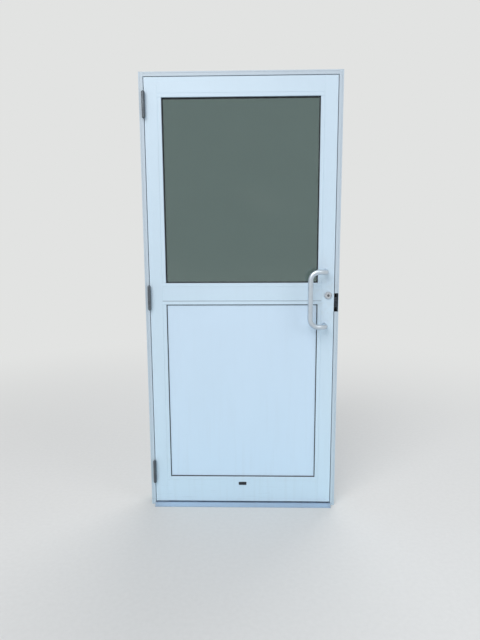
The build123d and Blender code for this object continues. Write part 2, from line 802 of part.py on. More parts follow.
for name, level in hinge_levels.items():
    with BuildPart() as hinge_frame_leaf:
        hinge_wing_body(level, -1, range(0, knuckle_count, 2))
    hinge_frame_leaf.part.label = f"{name}_hinge_frame_leaf"
    export_step(hinge_frame_leaf.part, f"parts/{name}_hinge_frame_leaf.step")

    with BuildPart() as hinge_door_leaf:
        hinge_wing_body(level, 1, range(1, knuckle_count, 2))
    hinge_door_leaf.part.label = f"{name}_hinge_door_leaf"
    export_step(hinge_door_leaf.part, f"parts/{name}_hinge_door_leaf.step")

    end = hinge_length / 2
    tip = end + hinge_tip_height
    with BuildPart() as hinge_pin:
        with BuildSketch(Plane((hinge_x, hinge_y, level), x_dir=(1, 0, 0), z_dir=(0, -1, 0))):
            with BuildLine():
                TangentArc((0, tip), (hinge_tip_radius, end), tangent=(1, 0))
                Polyline(
                    (hinge_tip_radius, end),
                    (hinge_pin_radius, end),
                    (hinge_pin_radius, -end),
                    (hinge_tip_radius, -end),
                )
                TangentArc((0, -tip), (hinge_tip_radius, -end), tangent=(1, 0))
                Line((0, -tip), (0, tip))
            make_face()
        revolve(axis=Axis((hinge_x, hinge_y, level), (0, 0, 1)))
    hinge_pin.part.label = f"{name}_hinge_pin"
    export_step(hinge_pin.part, f"parts/{name}_hinge_pin.step")

# Backing plates behind the hinge cut-outs, and the hinge screws
jamb_backer_y = (front_y + frame_wall, wing_end_y + backer_overlap)
stile_backer_y = (front_y + leaf_wall, leaf_back_y - leaf_wall)
backer_height = hinge_length + 2 * backer_overlap
jamb_backer_x = (-half_opening - frame_wall - backer_thickness, -half_opening - frame_wall)
stile_backer_x = (-leaf_edge + leaf_wall, -leaf_edge + leaf_wall + backer_thickness)
jamb_screw_places = [
    place
    for level in hinge_levels.values()
    for place in hinge_screw_places(level, -half_opening, point_out_left)
]
stile_screw_places = [
    place
    for level in hinge_levels.values()
    for place in hinge_screw_places(level, -leaf_edge, point_out_right)
]
with BuildPart() as hinge_backers_jamb:
    for level in hinge_levels.values():
        block(jamb_backer_x, jamb_backer_y, around(level, backer_height))
    with Locations(*jamb_screw_places):
        add(screw_hole, mode=Mode.SUBTRACT)
hinge_backers_jamb.part.label = "hinge_backers_jamb"
export_step(hinge_backers_jamb.part, "parts/hinge_backers_jamb.step")

with BuildPart() as hinge_backers_stile:
    for level in hinge_levels.values():
        block(stile_backer_x, stile_backer_y, around(level, backer_height))
    with Locations(*stile_screw_places):
        add(screw_hole, mode=Mode.SUBTRACT)
hinge_backers_stile.part.label = "hinge_backers_stile"
export_step(hinge_backers_stile.part, "parts/hinge_backers_stile.step")

with BuildPart() as hinge_screws_jamb:
    with Locations(*jamb_screw_places):
        add(screw)
hinge_screws_jamb.part.label = "hinge_screws_jamb"
export_step(hinge_screws_jamb.part, "parts/hinge_screws_jamb.step")

with BuildPart() as hinge_screws_stile:
    with Locations(*stile_screw_places):
        add(screw)
hinge_screws_stile.part.label = "hinge_screws_stile"
export_step(hinge_screws_stile.part, "parts/hinge_screws_stile.step")

# Pull handle: one bent bar, with a threaded hole in each post
pull_plane_y = front_y - pull_standoff
grip_x = pull_x - pull_offset
low_post, high_post = pull_levels
with BuildPart() as pull_handle:
    with BuildLine() as pull_line:
        FilletPolyline(
            (pull_x, front_y, high_post),
            (pull_x, pull_plane_y, high_post),
            (grip_x, pull_plane_y, high_post),
            (grip_x, pull_plane_y, low_post),
            (pull_x, pull_plane_y, low_post),
            (pull_x, front_y, low_post),
            radius=[pull_post_bend, pull_grip_bend, pull_grip_bend, pull_post_bend],
        )
    with BuildSketch(Plane(origin=pull_line.line @ 0, z_dir=pull_line.line % 0)):
        Circle(pull_tube_radius)
    sweep()
    with Locations(*[(pull_x, front_y, level) for level in pull_levels]):
        Cylinder(
            pull_bolt_radius + cylinder_play,
            2 * (pull_bolt_grip + cylinder_play),
            rotation=(90, 0, 0),
            mode=Mode.SUBTRACT,
        )
pull_handle.part.label = "pull_handle"
export_step(pull_handle.part, "parts/pull_handle.step")

# Through bolts of the pull handle, with low round heads on the inside
with BuildPart() as pull_bolts:
    for level in pull_levels:
        with BuildSketch(facade(leaf_back_y)):
            with Locations((pull_x, level)):
                Circle(pull_bolt_radius)
        extrude(amount=leaf_thickness + pull_bolt_grip)
        with BuildSketch(facade(leaf_back_y)):
            with Locations((pull_x, level)):
                Circle(pull_bolt_head_radius)
        extrude(amount=-pull_bolt_head_height, taper=20)
pull_bolts.part.label = "pull_bolts"
export_step(pull_bolts.part, "parts/pull_bolts.step")

# Lock case: a closed box with a bore for cylinder and lever, a way for the latch and two ears
lock_case_x = (leaf_edge - leaf_wall - lock_case_depth, leaf_edge - leaf_wall)
lock_case_z = around(lock_plate_z, lock_case_height)
lock_screw_levels = around(lock_plate_z, (lock_case_height + lock_plate_height) / 2)
lock_screw_places = [Location((leaf_edge, leaf_mid_y, level), point_out_left) for level in lock_screw_levels]
with BuildPart() as lock_case:
    block(lock_case_x, around(leaf_mid_y, lock_case_thickness), lock_case_z)
    block(
        (lock_case_x[1] - lock_ear_thickness, lock_case_x[1]),
        around(leaf_mid_y, lock_case_thickness),
        around(lock_plate_z, lock_plate_height + 2 * lock_ear_overlap),
    )
    with Locations((lock_x, leaf_mid_y, cylinder_height)):
        Cylinder(
            cylinder_radius + cylinder_play, 2 * lock_case_thickness, rotation=(90, 0, 0), mode=Mode.SUBTRACT
        )
    block(
        (leaf_edge - latch_length - latch_setback - latch_play, leaf_edge),
        around(leaf_mid_y, latch_thickness + 2 * latch_play),
        around(latch_z, latch_height + 2 * latch_play),
        mode=Mode.SUBTRACT,
    )
    with Locations(*lock_screw_places):
        add(screw_hole, mode=Mode.SUBTRACT)
lock_case.part.label = "lock_case"
export_step(lock_case.part, "parts/lock_case.step")

with BuildPart() as lock_faceplate:
    block(
        (leaf_edge - leaf_wall, leaf_edge),
        around(leaf_mid_y, lock_plate_width),
        around(lock_plate_z, lock_plate_height),
    )
    block(
        (leaf_edge - leaf_wall, leaf_edge),
        around(leaf_mid_y, latch_thickness + 2 * latch_play),
        around(latch_z, latch_height + 2 * latch_play),
        mode=Mode.SUBTRACT,
    )
    with Locations(*lock_screw_places):
        add(screw_hole, mode=Mode.SUBTRACT)
lock_faceplate.part.label = "lock_faceplate"
export_step(lock_faceplate.part, "parts/lock_faceplate.step")

# Latch bolt, held back: its slope faces inside, so that the closing leaf drives it back
latch_tip = leaf_edge - latch_setback
latch_front_y, latch_rear_y = around(leaf_mid_y, latch_thickness)
with BuildPart() as latch_bolt:
    with BuildSketch(Plane.XY.offset(latch_z - latch_height / 2)):
        with BuildLine():
            Polyline(
                (latch_tip - latch_length, latch_front_y),
                (latch_tip, latch_front_y),
                (latch_tip, latch_front_y + latch_nose),
                (latch_tip - latch_bevel, latch_rear_y),
                (latch_tip - latch_length, latch_rear_y),
                close=True,
            )
        make_face()
    extrude(amount=latch_height)
latch_bolt.part.label = "latch_bolt"
export_step(latch_bolt.part, "parts/latch_bolt.step")

# Cylinder with its ring, and the key plug with its cam
ring_front_y = front_y - ring_height
cylinder_front_y = ring_front_y - cylinder_head_height
cylinder_back_y = cylinder_front_y + cylinder_length
cylinder_turn = Axis((lock_x, 0, cylinder_height), (0, 1, 0))
cylinder_profile = Plane((lock_x, 0, cylinder_height), x_dir=(1, 0, 0), z_dir=(0, 0, -1))
plug_bore = plug_radius + pin_clearance
head_edge = cylinder_head_height / 3
with BuildPart() as lock_cylinder:
    with BuildSketch(cylinder_profile):
        with BuildLine():
            Polyline(
                (plug_bore, -cylinder_front_y),
                (cylinder_head_radius - head_edge, -cylinder_front_y),
                (cylinder_head_radius, -cylinder_front_y - head_edge),
                (cylinder_head_radius, -ring_front_y),
                (cylinder_radius, -ring_front_y),
                (cylinder_radius, -cylinder_back_y),
                (plug_bore, -cylinder_back_y),
                close=True,
            )
        make_face()
    revolve(axis=cylinder_turn)
lock_cylinder.part.label = "lock_cylinder"
export_step(lock_cylinder.part, "parts/lock_cylinder.step")

with BuildPart() as cylinder_ring:
    with BuildSketch(cylinder_profile):
        with BuildLine():
            Polyline(
                (cylinder_radius + cylinder_play, -ring_front_y),
                (ring_radius - ring_taper, -ring_front_y),
                (ring_radius, -front_y + ring_height / 3),
                (ring_radius, -front_y),
                (cylinder_radius + cylinder_play, -front_y),
                close=True,
            )
        make_face()
    revolve(axis=cylinder_turn)
cylinder_ring.part.label = "cylinder_ring"
export_step(cylinder_ring.part, "parts/cylinder_ring.step")

plug_front_y = cylinder_front_y - plug_proud
cam_back_y = cylinder_back_y + knuckle_gap + cam_thickness
with BuildPart() as key_plug:
    with BuildSketch(facade(plug_front_y)):
        with Locations((lock_x, cylinder_height)):
            Circle(plug_radius)
    extrude(amount=-(cam_back_y - plug_front_y))
    with BuildSketch(facade(cam_back_y)):
        with Locations((lock_x, cylinder_height)):
            Circle(cam_radius)
        with Locations((lock_x, cylinder_height - cam_reach / 2)):
            Rectangle(cam_radius, cam_reach)
    extrude(amount=cam_thickness)
    block(
        around(lock_x, key_slot_width),
        (plug_front_y, plug_front_y + key_slot_depth),
        around(cylinder_height, key_slot_height),
        mode=Mode.SUBTRACT,
    )
key_plug.part.label = "key_plug"
export_step(key_plug.part, "parts/key_plug.step")

# Inside lever: escutcheon with a boss through the stile, spindle with its cam, and the lever
escutcheon_face_y = leaf_back_y + escutcheon_thickness
spindle_bore = spindle_radius + pin_clearance
escutcheon_screw_places = [
    Location((lock_x, escutcheon_face_y, level), point_inside) for level in escutcheon_screw_levels
]
with BuildPart() as lever_escutcheon:
    with BuildSketch(facade(escutcheon_face_y)):
        with Locations((lock_x, cylinder_height)):
            RectangleRounded(escutcheon_width, escutcheon_height, escutcheon_corner)
    extrude(amount=escutcheon_thickness)
    fillet(lever_escutcheon.faces().sort_by(Axis.Y)[-1].edges(), escutcheon_edge)
    with BuildSketch(facade(leaf_back_y)):
        with Locations((lock_x, cylinder_height)):
            Circle(boss_radius)
    extrude(amount=boss_length)
    with Locations((lock_x, leaf_back_y, cylinder_height)):
        Cylinder(spindle_bore, 4 * boss_length, rotation=(90, 0, 0), mode=Mode.SUBTRACT)
    with Locations(*escutcheon_screw_places):
        add(screw_hole, mode=Mode.SUBTRACT)
lever_escutcheon.part.label = "lever_escutcheon"
export_step(lever_escutcheon.part, "parts/lever_escutcheon.step")

hub_start_y = escutcheon_face_y + knuckle_gap
spindle_inner_y = leaf_back_y - spindle_reach
with BuildPart() as lever_spindle:
    with BuildSketch(facade(spindle_inner_y)):
        with Locations((lock_x, cylinder_height)):
            Circle(spindle_radius)
    extrude(amount=-(hub_start_y + lever_hub_length / 2 - spindle_inner_y))
    with BuildSketch(facade(spindle_inner_y)):
        with Locations((lock_x, cylinder_height)):
            Circle(cam_radius)
        with Locations((lock_x, cylinder_height - cam_reach / 2)):
            Rectangle(cam_radius, cam_reach)
    extrude(amount=-cam_thickness)
lever_spindle.part.label = "lever_spindle"
export_step(lever_spindle.part, "parts/lever_spindle.step")

lever_y = leaf_back_y + lever_standoff
with BuildPart() as inside_lever:
    with BuildLine() as lever_line:
        FilletPolyline(
            (lock_x, hub_start_y, cylinder_height),
            (lock_x, lever_y, cylinder_height),
            (lock_x - lever_length, lever_y, cylinder_height),
            (lock_x - lever_length, lever_y - lever_return, cylinder_height),
            radius=[lever_bend_radius, lever_bend_radius],
        )
    with BuildSketch(Plane(origin=lever_line.line @ 0, z_dir=lever_line.line % 0)):
        Circle(lever_bar_radius)
    sweep()
    with BuildSketch(facade(hub_start_y)):
        with Locations((lock_x, cylinder_height)):
            Circle(lever_hub_radius)
    extrude(amount=-lever_hub_length)
    with BuildSketch(facade(hub_start_y)):
        with Locations((lock_x, cylinder_height)):
            Circle(spindle_bore)
    extrude(amount=-lever_hub_length / 2 - knuckle_gap, mode=Mode.SUBTRACT)
inside_lever.part.label = "inside_lever"
export_step(inside_lever.part, "parts/inside_lever.step")

# Screws of the lock's faceplate and of the escutcheon
with BuildPart() as lock_screws:
    with Locations(*lock_screw_places, *escutcheon_screw_places):
        add(screw)
lock_screws.part.label = "lock_screws"
export_step(lock_screws.part, "parts/lock_screws.step")

# Strike: a housing inside the jamb, open to the latch and to the outside
strike_x = (half_opening + frame_wall, half_opening + frame_face - frame_wall)
strike_case_y = (front_y + frame_wall, leaf_mid_y + strike_case_reach)
strike_screw_levels = around(latch_z, (strike_plate_height + lip_height) / 2)
strike_screw_places = [
    Location((half_opening, leaf_mid_y, level), point_out_right) for level in strike_screw_levels
]
keeper_rear_y = latch_front_y - keeper_latch_gap
keeper_pin_x = strike_x[1] - strike_case_wall - keeper_play - keeper_barrel_radius
keeper_pin_y = keeper_rear_y - keeper_pin_forward
with BuildPart() as strike_case:
    block(strike_x, strike_case_y, around(latch_z, strike_case_height))
    block(
        (strike_x[0], strike_x[1] - strike_case_wall),
        (strike_case_y[0], strike_case_y[1] - strike_case_wall),
        lip_z,
        mode=Mode.SUBTRACT,
    )
    with Locations((keeper_pin_x, keeper_pin_y, latch_z)):
        Cylinder(keeper_pin_radius + pin_clearance, 2 * strike_case_height, mode=Mode.SUBTRACT)
    with Locations(*strike_screw_places):
        add(screw_hole, mode=Mode.SUBTRACT)
strike_case.part.label = "strike_case"
export_step(strike_case.part, "parts/strike_case.step")

with BuildPart() as strike_faceplate:
    block(
        (half_opening, half_opening + frame_wall),
        strike_plate_y,
        around(latch_z, strike_plate_height),
    )
    block(
        (half_opening, half_opening + frame_wall),
        (strike_plate_y[0], latch_rear_y + keeper_latch_gap),
        lip_z,
        mode=Mode.SUBTRACT,
    )
    with Locations(*strike_screw_places):
        add(screw_hole, mode=Mode.SUBTRACT)
strike_faceplate.part.label = "strike_faceplate"
export_step(strike_faceplate.part, "parts/strike_faceplate.step")

with BuildPart() as strike_keeper_pin:
    with Locations((keeper_pin_x, keeper_pin_y, latch_z)):
        Cylinder(keeper_pin_radius, strike_case_height)
strike_keeper_pin.part.label = "strike_keeper_pin"
export_step(strike_keeper_pin.part, "parts/strike_keeper_pin.step")

# Keeper: a gate on the pin that holds the latch from outside, with a lip at its free edge
keeper_free_x = half_opening + keeper_play
with BuildPart() as strike_keeper:
    with BuildSketch(Plane.XY.offset(latch_z - keeper_height / 2)):
        with Locations((keeper_pin_x, keeper_pin_y)):
            Circle(keeper_barrel_radius)
        with BuildLine():
            Polyline(
                (keeper_free_x, keeper_rear_y),
                (keeper_free_x, keeper_rear_y - keeper_lip),
                (keeper_free_x + keeper_lip_thickness, keeper_rear_y - keeper_lip),
                (keeper_free_x + 2 * keeper_lip_thickness, keeper_rear_y - keeper_thickness),
                (keeper_pin_x, keeper_rear_y - keeper_thickness),
                (keeper_pin_x, keeper_rear_y),
                close=True,
            )
        make_face()
    extrude(amount=keeper_height)
    with Locations((keeper_pin_x, keeper_pin_y, latch_z)):
        Cylinder(keeper_pin_radius + pin_clearance, 2 * keeper_height, mode=Mode.SUBTRACT)
strike_keeper.part.label = "strike_keeper"
export_step(strike_keeper.part, "parts/strike_keeper.step")

with BuildPart() as strike_screws:
    with Locations(*strike_screw_places):
        add(screw)
strike_screws.part.label = "strike_screws"
export_step(strike_screws.part, "parts/strike_screws.step")
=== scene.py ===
# %% [markdown]
# # A glazed entrance door
# This lesson dresses a white aluminium door that stands in its frame. Its solids come ready
# made from CAD, with their hinges and lock. We could draw them again in Blender, but then
# nothing would fit to the tenth of a millimetre, so they stay as they are. Blender adds the
# finishes, the small fasteners, the light and the camera.

# %% Load the door
import math

import bmesh
import bpy
from mathutils import Matrix, Vector


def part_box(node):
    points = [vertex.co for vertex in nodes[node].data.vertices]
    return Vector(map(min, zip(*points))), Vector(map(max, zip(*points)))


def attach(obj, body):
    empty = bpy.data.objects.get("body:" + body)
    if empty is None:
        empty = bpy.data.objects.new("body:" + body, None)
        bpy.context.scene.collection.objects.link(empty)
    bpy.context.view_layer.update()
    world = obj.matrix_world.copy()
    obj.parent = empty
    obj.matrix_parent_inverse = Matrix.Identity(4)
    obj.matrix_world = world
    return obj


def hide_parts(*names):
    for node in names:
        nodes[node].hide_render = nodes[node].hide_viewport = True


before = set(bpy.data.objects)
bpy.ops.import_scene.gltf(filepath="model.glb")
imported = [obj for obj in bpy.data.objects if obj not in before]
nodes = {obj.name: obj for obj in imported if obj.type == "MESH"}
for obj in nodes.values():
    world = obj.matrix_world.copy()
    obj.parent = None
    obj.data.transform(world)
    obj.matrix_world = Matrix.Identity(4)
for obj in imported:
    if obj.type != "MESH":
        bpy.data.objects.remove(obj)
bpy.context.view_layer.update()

# %% [markdown]
# ## The camera
# The photograph was taken 1.4 m above the ground, 2.7 m in front of the door. The camera could
# be placed by eye. Here it was worked out from the straight edges of the frame and the leaf
# instead, so that the lines of the render fall on those of the photograph. A long side of
# 36 mm on the sensor and a 30.7 mm lens give the same field of view.

# %% Camera
PHOTO_LONG_SIDE = 640
FOCAL_PIXELS = 546.0
CAMERA_PLACE = (0.0593, -2.737, 1.4226)
LOOKS_DOWN, LOOKS_LEFT, LEANS = 9.30, 1.458, -0.307
camera_data = bpy.data.cameras.new("photo_camera")
camera_data.sensor_fit = "VERTICAL"
camera_data.sensor_height = 36.0
camera_data.lens = camera_data.sensor_height * FOCAL_PIXELS / PHOTO_LONG_SIDE
camera_data.clip_end = 200.0
camera = bpy.data.objects.new("photo_camera", camera_data)
bpy.context.scene.collection.objects.link(camera)
turn = (
    Matrix.Rotation(math.radians(LOOKS_LEFT), 4, "Z")
    @ Matrix.Rotation(math.radians(90.0 - LOOKS_DOWN), 4, "X")
    @ Matrix.Rotation(math.radians(LEANS), 4, "Z")
)
camera.matrix_world = Matrix.Translation(CAMERA_PLACE) @ turn
bpy.context.scene.camera = camera
bpy.context.scene.view_settings.view_transform = "Standard"
print("lens", round(camera_data.lens, 2), "mm")

# %% [markdown]
# ## Sums in place of noodles
# Every finish below is a small sum: so much dust, less near the top, times a grain. In the node
# editor that is a tangle of Math nodes. Python lets a class say what plus and times mean, so
# one small class holds a socket and turns each sum into a node. A second class is the
# finish itself. It makes any other node from its type, its settings and its inputs.


# %% A socket that can be used in sums
class Wire:
    """The output of a node."""

    def __init__(self, finish, socket):
        self.finish = finish
        self.socket = socket

    def sum_with(self, operation, first, second):
        return self.finish.node("Math", {"operation": operation}, {0: first, 1: second})

    def __add__(self, other):
        return self.sum_with("ADD", self, other)

    def __sub__(self, other):
        return self.sum_with("SUBTRACT", self, other)

    def __rsub__(self, other):
        return self.sum_with("SUBTRACT", other, self)

    def __mul__(self, other):
        return self.sum_with("MULTIPLY", self, other)

    __radd__ = __add__
    __rmul__ = __mul__

    def __mod__(self, other):
        return self.sum_with("FLOORED_MODULO", self, other)

    def __abs__(self):
        return self.sum_with("ABSOLUTE", self, 0.0)

    def other(self, name):
        """Another output of the same node."""
        return Wire(self.finish, self.socket.node.outputs[name])


print("a wire knows plus, minus, times, remainder and size without sign")

# %% A finish and its nodes
class Finish:
    """A material, or a world, that is built by sums on its own place in space."""

    def __init__(self, name, kind=bpy.data.materials):
        self.material = kind.new(name)
        self.material.use_nodes = True
        self.tree = self.material.node_tree
        self.tree.nodes.clear()
        self.place = self.node("TexCoord", out="Object")

    def node(self, kind, settings=None, inputs=None, out=0):
        """Any node, from its type, its settings and the values or wires of its inputs."""
        made = self.tree.nodes.new("ShaderNode" + kind)
        for setting, value in (settings or {}).items():
            setattr(made, setting, value)
        for name, value in (inputs or {}).items():
            if isinstance(value, Wire):
                self.tree.links.new(value.socket, made.inputs[name])
            else:
                made.inputs[name].default_value = value
        return Wire(self, made.outputs[out]) if made.outputs else None

    def axes(self):
        """How far across, deep and high a point lies."""
        x = self.node("SeparateXYZ", inputs={0: self.place}, out="X")
        return x, x.other("Y"), x.other("Z")

    def grain(self, size, stretch=(1, 1, 1), detail=2.0, turned=(0, 0, 0)):
        """Noise from 0 to 1 with lumps of a size in metres, drawn out along an axis."""
        scale = [1.0 / (size * along) for along in stretch]
        how = {"Vector": self.place, "Scale": scale, "Rotation": turned}
        moved = self.node("Mapping", inputs=how)
        return self.node("TexNoise", inputs={"Vector": moved, "Scale": 1.0, "Detail": detail})

    def spots(self, size, out="Distance"):
        """Cells round scattered points, a size in metres apart, for flecks, foam and spangle."""
        return self.node("TexVoronoi", inputs={"Vector": self.place, "Scale": 1.0 / size}, out=out)

    def rise(self, value, low, high):
        """0 below low, 1 above high, and a soft slope between."""
        steps = {"interpolation_type": "SMOOTHSTEP"}
        return self.node("MapRange", steps, {"Value": value, "From Min": low, "From Max": high})

    def tint(self, share, base, over):
        """The colour base with a share of the colour over."""
        return self.node("Mix", {"data_type": "RGBA"}, {0: share, 6: base, 7: over}, out=2)

    def bumps(self, height, depth):
        """A relief whose full height is depth metres."""
        return self.node("Bump", inputs={"Height": height, "Distance": depth, "Strength": 1.0})

    def close(self, **inputs):
        """Ends the finish with its shader."""
        names = {name.replace("_", " "): value for name, value in inputs.items()}
        shader = self.node("BsdfPrincipled", inputs=names)
        self.node("OutputMaterial", inputs={"Surface": shader})
        return self.material


def colour(red, green, blue):
    """A colour as a picture program shows it, 0 to 255, in the light values that shaders use."""
    parts = [part / 255.0 for part in (red, green, blue)]
    linear = [p / 12.92 if p <= 0.04045 else ((p + 0.055) / 1.055) ** 2.4 for p in parts]
    return (*linear, 1.0)


print("middle grey in light values", [round(part, 3) for part in colour(128, 128, 128)])

# %% [markdown]
# ## White powder coat
# The frame, the leaf and the lower panel are aluminium with a baked powder coat. It is not one
# flat white. The melted powder leaves a faint orange peel. Rain draws dust down in streaks that
# gather towards the ground, feet and mops leave splashes and scuffs on the lowest hand's
# breadth, hands leave grease round the pull handle, and a grey line of dust and painted shade
# lies in the joint over the panel's upper bead. A photographed texture would do all that, but
# it would stretch round corners. Grain that is read from the object's own coordinates runs on
# from piece to piece, and height decides how much dust there is.

# %% Powder coat
DUST = colour(148, 143, 130)
SCUFF = colour(112, 114, 118)
GREASE = colour(176, 172, 160)
JOINT_DUST_AND_SHADE = colour(88, 92, 98)
BEAD_END, _, BEAD_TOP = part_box("panel_beads_outer")[1]
HANDLE_ACROSS, HANDLE_HEIGHT = 0.405, 1.13


def powder_coat(name, paint, waves=0.0):
    """Paint on aluminium. waves is how far a thin sheet swells and dips, in metres."""
    coat = Finish(name)
    x, _, z = coat.axes()
    cloud = coat.grain(0.45, stretch=(1, 1, 1.8), detail=3.0)
    fresh = [min(1.0, part * 1.03) for part in paint[:3]] + [1.0]
    worn = [part * 0.93 for part in paint[:3]] + [1.0]
    surface = coat.tint(cloud, fresh, worn)
    near_ground = 1.0 - coat.rise(z, 0.05, 0.75)
    streaks = coat.rise(coat.grain(0.016, stretch=(1, 1, 22), detail=3.0), 0.48, 0.72)
    dust = streaks * (near_ground * 0.035 + 0.012)
    surface = coat.tint(dust, surface, DUST)
    at_feet = 1.0 - coat.rise(z, 0.03, 0.16)
    splashes = coat.rise(coat.grain(0.003, detail=4.0), 0.60, 0.68) * at_feet * 0.12
    surface = coat.tint(splashes, surface, DUST)
    scrapes = coat.grain(0.005, stretch=(20, 1, 1), turned=(0, 0.15, 0), detail=5.0)
    surface = coat.tint(coat.rise(scrapes, 0.62, 0.70) * at_feet * 0.16, surface, SCUFF)
    off_side = coat.rise(abs(x - HANDLE_ACROSS), 0.03, 0.09)
    off_level = coat.rise(abs(z - HANDLE_HEIGHT), 0.06, 0.20)
    prints = coat.rise(coat.grain(0.03, detail=3.0), 0.42, 0.62)
    hands = (1.0 - off_side) * (1.0 - off_level) * prints
    surface = coat.tint(hands * 0.10, surface, GREASE)
    # A grey line in the joint over the panel's upper bead: dust, and painted shade.
    in_joint = 1.0 - coat.rise(abs(z - BEAD_TOP), 0.0010, 0.0024)
    along_bead = 1.0 - coat.rise(abs(x), BEAD_END, BEAD_END + 0.001)
    surface = coat.tint(in_joint * along_bead * 0.55, surface, JOINT_DUST_AND_SHADE)
    peel = coat.grain(0.0016, detail=1.0)
    relief = coat.bumps(peel, 0.00004)
    if waves:
        swell = coat.grain(0.32, stretch=(1, 1, 1.6), detail=1.0)
        relief = coat.node("Bump", inputs={"Height": swell, "Distance": waves, "Normal": relief})
    roughness = 0.40 + cloud * 0.08 + dust * 0.8 - hands * 0.06
    return coat.close(
        Base_Color=surface,
        Roughness=roughness,
        Normal=relief,
        Coat_Weight=0.10,
        Coat_Roughness=0.30,
    )


leaf_paint = powder_coat("leaf_powder_coat", colour(202, 219, 232))
panel_paint = powder_coat("panel_powder_coat", colour(203, 220, 236), waves=0.0012)
frame_paint = powder_coat("frame_powder_coat", colour(188, 200, 210))
print("paints", leaf_paint.name, panel_paint.name, frame_paint.name)

# %% [markdown]
# ## Satin stainless steel
# The pull handle and the inside lever are ground bars: fine lines run round the bar, and hands
# have polished them unevenly. Lines could be drawn with a wave texture, but real grinding has
# no pitch, so noise is squeezed hard along one axis instead. The metal gets its brightness
# from what it mirrors, and the roughness decides how blurred that is.

# %% Stainless steel


def ground_steel(name, metal, rough, lines=(1, 1, 1), line_size=0.0004, smudges=0.12):
    """Ground steel with hand marks. lines says along which axis the grinding runs."""
    bar = Finish(name)
    scratch = bar.grain(line_size, stretch=lines, detail=3.0)
    marks = bar.rise(bar.grain(0.035, detail=4.0), 0.40, 0.68)
    dull = [part * 0.80 for part in metal[:3]] + [1.0]
    surface = bar.tint(marks * 0.45 + scratch * 0.25, metal, dull)
    relief = bar.bumps(scratch, 0.000012)
    roughness = rough + scratch * 0.10 + marks * smudges
    return bar.close(Base_Color=surface, Metallic=1.0, Roughness=roughness, Normal=relief)


handle_steel = ground_steel("pull_handle_steel", colour(206, 217, 227), 0.32, lines=(14, 14, 1))
lever_steel = ground_steel("lever_steel", colour(186, 187, 188), 0.24, lines=(1, 14, 14))
escutcheon_steel = ground_steel("escutcheon_steel", colour(180, 181, 182), 0.28, lines=(1, 1, 30))
faceplate_steel = ground_steel("faceplate_steel", colour(174, 175, 176), 0.30, lines=(1, 1, 40))
screw_steel = ground_steel("screw_steel", colour(170, 173, 177), 0.34, lines=(3, 3, 3), smudges=0.2)
print("steels", handle_steel.name, lever_steel.name, faceplate_steel.name)

# %% [markdown]
# ## Hinge steel
# The hinges live outdoors. Their satin plating has gone blue grey, road grime lies on it in
# patches, and a few rust freckles have come through. Both tones of the plating are also
# painted darker, as painted shade and a painted dark reflection. The grime could be painted on
# by hand. A Voronoi texture scatters the freckles, and noise breaks up the grime, so all three
# hinges differ although they share one material.

# %% Hinge steel


def weathered_shaded_steel(name):
    """Plated steel that has stood in the rain, its tones darkened by painted shade and reflection.
    """
    hinge = Finish(name)
    patches = hinge.grain(0.02, stretch=(1, 1, 2.5), detail=4.0)
    # Both tones are darker than the plating itself: painted shade and a painted dark reflection.
    surface = hinge.tint(patches, colour(122, 130, 137), colour(74, 81, 88))
    grime = hinge.rise(hinge.grain(0.006, stretch=(1, 1, 0.6), detail=5.0), 0.52, 0.66)
    surface = hinge.tint(grime * 0.45, surface, colour(58, 56, 54))
    freckles = 1.0 - hinge.rise(hinge.spots(0.007), 0.05, 0.16)
    rust = freckles * hinge.rise(patches, 0.45, 0.6)
    surface = hinge.tint(rust * 0.8, surface, colour(124, 74, 42))
    relief = hinge.bumps(hinge.grain(0.0012, detail=4.0), 0.00003)
    metal = 0.95 - grime * 0.5 - rust * 0.6
    roughness = 0.27 + grime * 0.25 + rust * 0.3 + patches * 0.1
    return hinge.close(Base_Color=surface, Metallic=metal, Roughness=roughness, Normal=relief)


hinge_steel = weathered_shaded_steel("hinge_steel")
print("hinge finish", hinge_steel.name)

# %% [markdown]
# ## Mill aluminium
# The threshold is bare aluminium, as it left the press. Press lines run along it, and shoes and
# wheels have rubbed dull tracks across it. The flutes hold dirt. The spacer in the glass unit
# is the same metal, but clean, with a row of fine holes for its drying beads, drawn as
# near-black dots of painted shade.

# %% Threshold
FLUTES_FROM, FLUTES_TO = 0.0015, 0.0118


def walked_aluminium(name):
    """Bare aluminium that is walked on."""
    sill = Finish(name)
    height = sill.axes()[2]
    press_lines = sill.grain(0.0006, stretch=(120, 1, 1), detail=3.0)
    traffic = sill.rise(sill.grain(0.12, stretch=(2, 1, 1), detail=5.0), 0.30, 0.75)
    surface = sill.tint(press_lines, colour(193, 211, 227), colour(179, 198, 222))
    surface = sill.tint(traffic * 0.12, surface, colour(140, 144, 150))
    grit = sill.rise(sill.grain(0.002, detail=5.0), 0.56, 0.72)
    low = 1.0 - sill.rise(height, FLUTES_FROM, FLUTES_TO)
    surface = sill.tint(grit * (low * 0.5 + 0.05), surface, colour(86, 82, 76))
    relief = sill.bumps(press_lines, 0.00002)
    roughness = 0.32 + press_lines * 0.10 + traffic * 0.05 + grit * 0.2
    metal = 0.9 - grit * 0.5
    return sill.close(Base_Color=surface, Metallic=metal, Roughness=roughness, Normal=relief)


sill_aluminium = walked_aluminium("threshold_aluminium")
print("sill finish", sill_aluminium.name)

# %% Spacer
HOLE_PITCH = 0.006
SPACER_MIDDLE = (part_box("glass_spacer")[0][1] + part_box("glass_spacer")[1][1]) / 2


